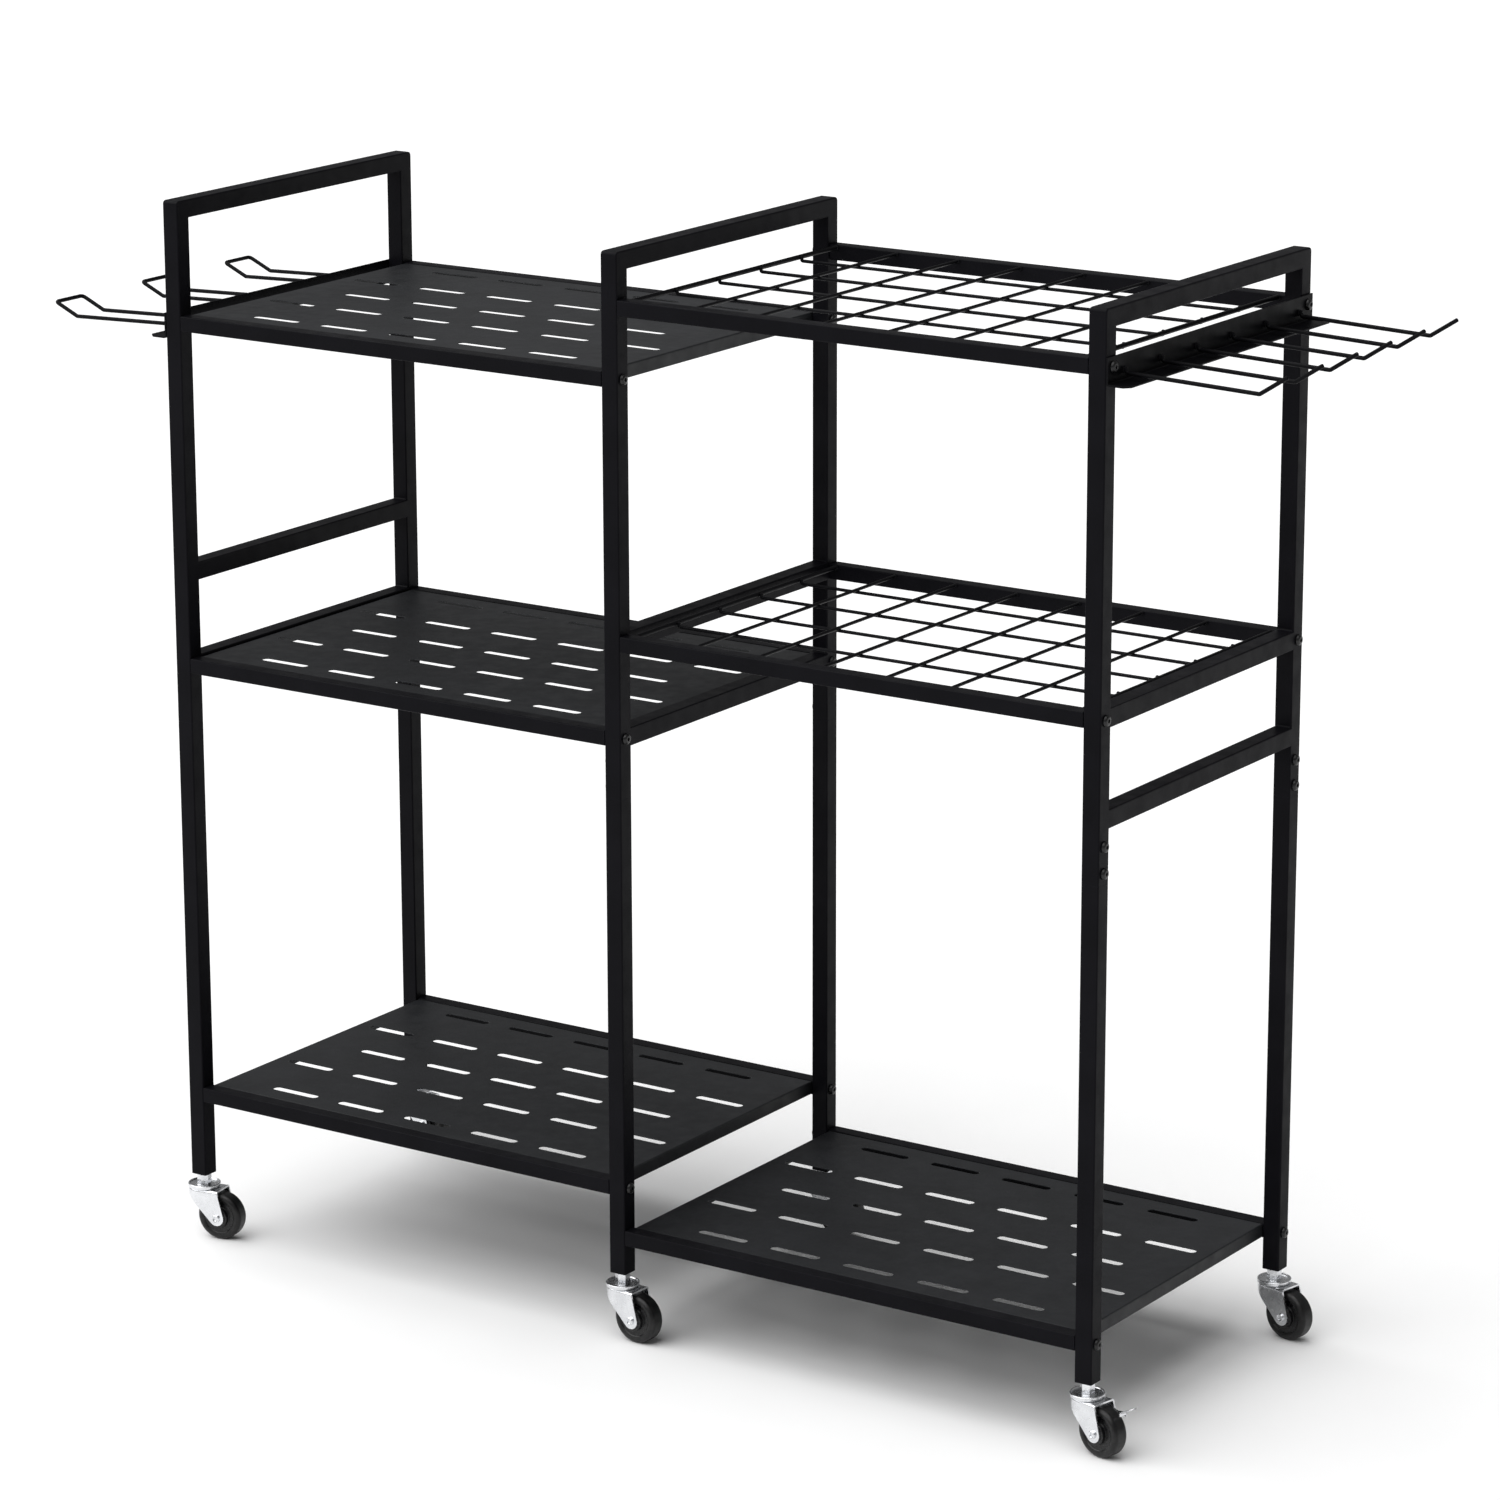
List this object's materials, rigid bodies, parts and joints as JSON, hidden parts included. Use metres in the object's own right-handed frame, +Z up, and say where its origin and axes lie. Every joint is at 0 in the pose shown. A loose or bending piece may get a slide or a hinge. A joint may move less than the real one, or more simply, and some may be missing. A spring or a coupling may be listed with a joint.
{
  "type": "rolling storage cart",
  "caption": "Rolling two-bay metal cart with stepped slotted and wire shelves, tall handle frames, side hook racks and swivel casters.",
  "frame": {"origin": "on the floor, below the centre of the middle side frame", "axes": "+X along the cart towards the end with the prongs, -Y towards the front, +Z up"},
  "size_m": [1.4687, 0.4151, 1.1205],
  "materials": {
    "frame": "satin black powder coat",
    "panel": "satin dark grey powder coat",
    "wire": "satin black powder coat",
    "hook": "satin black powder coat",
    "zinc": "bright zinc plate",
    "tyre": "matt black hard rubber"
  },
  "bodies": {
    "frame": {"upper_frame_left": "frame", "lower_post_left_front": "frame", "lower_post_left_back": "frame", "upper_frame_middle": "frame", "lower_post_middle_front": "frame", "lower_post_middle_back": "frame", "upper_frame_right": "frame", "lower_post_right_front": "frame", "lower_post_right_back": "frame", "rail_left_top_front": "frame", "rail_left_top_back": "frame", "panel_left_top": "panel", "rail_left_middle_front": "frame", "rail_left_middle_back": "frame", "panel_left_middle": "panel", "rail_left_bottom_front": "frame", "rail_left_bottom_back": "frame", "panel_left_bottom": "panel", "rail_right_top_front": "frame", "rail_right_top_back": "frame", "wire_mat_right_top": "wire", "rail_right_middle_front": "frame", "rail_right_middle_back": "frame", "wire_mat_right_middle": "wire", "rail_right_bottom_front": "frame", "rail_right_bottom_back": "frame", "panel_right_bottom": "panel", "hook_plate_right": "hook", "prong_1": "hook", "prong_2": "hook", "prong_3": "hook", "prong_4": "hook", "prong_5": "hook", "prong_6": "hook", "hook_plate_left": "hook", "loop_hook_1": "hook", "loop_hook_2": "hook", "loop_hook_3": "hook", "caster_stem_left_front": "zinc", "caster_stem_middle_front": "zinc", "caster_stem_right_front": "zinc", "caster_stem_left_back": "zinc", "caster_stem_middle_back": "zinc", "caster_stem_right_back": "zinc"},
    "fork_left_front": {"caster_fork_left_front": "zinc"},
    "wheel_left_front": {"caster_wheel_left_front": "tyre"},
    "fork_middle_front": {"caster_fork_middle_front": "zinc"},
    "wheel_middle_front": {"caster_wheel_middle_front": "tyre"},
    "fork_right_front": {"caster_fork_right_front": "zinc"},
    "wheel_right_front": {"caster_wheel_right_front": "tyre"},
    "brake_lever": {"brake_lever": "zinc"},
    "fork_left_back": {"caster_fork_left_back": "zinc"},
    "wheel_left_back": {"caster_wheel_left_back": "tyre"},
    "fork_middle_back": {"caster_fork_middle_back": "zinc"},
    "wheel_middle_back": {"caster_wheel_middle_back": "tyre"},
    "fork_right_back": {"caster_fork_right_back": "zinc"},
    "wheel_right_back": {"caster_wheel_right_back": "tyre"}
  },
  "joints": [
    {"name": "swivel_left_front", "type": "hinge", "parent": "frame", "child": "fork_left_front", "pos_m": [-0.5475, -0.1875, 0.058], "axis": [0, 0, 1], "continuous": true},
    {"name": "roll_left_front", "type": "hinge", "parent": "fork_left_front", "child": "wheel_left_front", "pos_m": [-0.52702, -0.18389, 0.0255], "axis": [-0.1736, 0.9848, 0], "continuous": true},
    {"name": "swivel_middle_front", "type": "hinge", "parent": "frame", "child": "fork_middle_front", "pos_m": [0, -0.1875, 0.058], "axis": [0, 0, 1], "continuous": true},
    {"name": "roll_middle_front", "type": "hinge", "parent": "fork_middle_front", "child": "wheel_middle_front", "pos_m": [0.02075, -0.18895, 0.0255], "axis": [0.0698, 0.9976, 0], "continuous": true},
    {"name": "swivel_right_front", "type": "hinge", "parent": "frame", "child": "fork_right_front", "pos_m": [0.5475, -0.1875, 0.058], "axis": [0, 0, 1], "continuous": true},
    {"name": "roll_right_front", "type": "hinge", "parent": "fork_right_front", "child": "wheel_right_front", "pos_m": [0.56777, -0.19218, 0.0255], "axis": [0.225, 0.9744, 0], "continuous": true},
    {"name": "brake_press", "type": "hinge", "parent": "fork_right_front", "child": "brake_lever", "pos_m": [0.56504, -0.19155, 0.0465], "axis": [0.225, 0.9744, 0], "range_deg": [0, 4]},
    {"name": "swivel_left_back", "type": "hinge", "parent": "frame", "child": "fork_left_back", "pos_m": [-0.5475, 0.1875, 0.058], "axis": [0, 0, 1], "continuous": true},
    {"name": "roll_left_back", "type": "hinge", "parent": "fork_left_back", "child": "wheel_left_back", "pos_m": [-0.52685, 0.18496, 0.0255], "axis": [0.1219, 0.9925, 0], "continuous": true},
    {"name": "swivel_middle_back", "type": "hinge", "parent": "frame", "child": "fork_middle_back", "pos_m": [0, 0.1875, 0.058], "axis": [0, 0, 1], "continuous": true},
    {"name": "roll_middle_back", "type": "hinge", "parent": "fork_middle_back", "child": "wheel_middle_back", "pos_m": [0.02069, 0.18967, 0.0255], "axis": [-0.1045, 0.9945, 0], "continuous": true},
    {"name": "swivel_right_back", "type": "hinge", "parent": "frame", "child": "fork_right_back", "pos_m": [0.5475, 0.1875, 0.058], "axis": [0, 0, 1], "continuous": true},
    {"name": "roll_right_back", "type": "hinge", "parent": "fork_right_back", "child": "wheel_right_back", "pos_m": [0.56792, 0.18353, 0.0255], "axis": [0.1908, 0.9816, 0], "continuous": true}
  ]
}
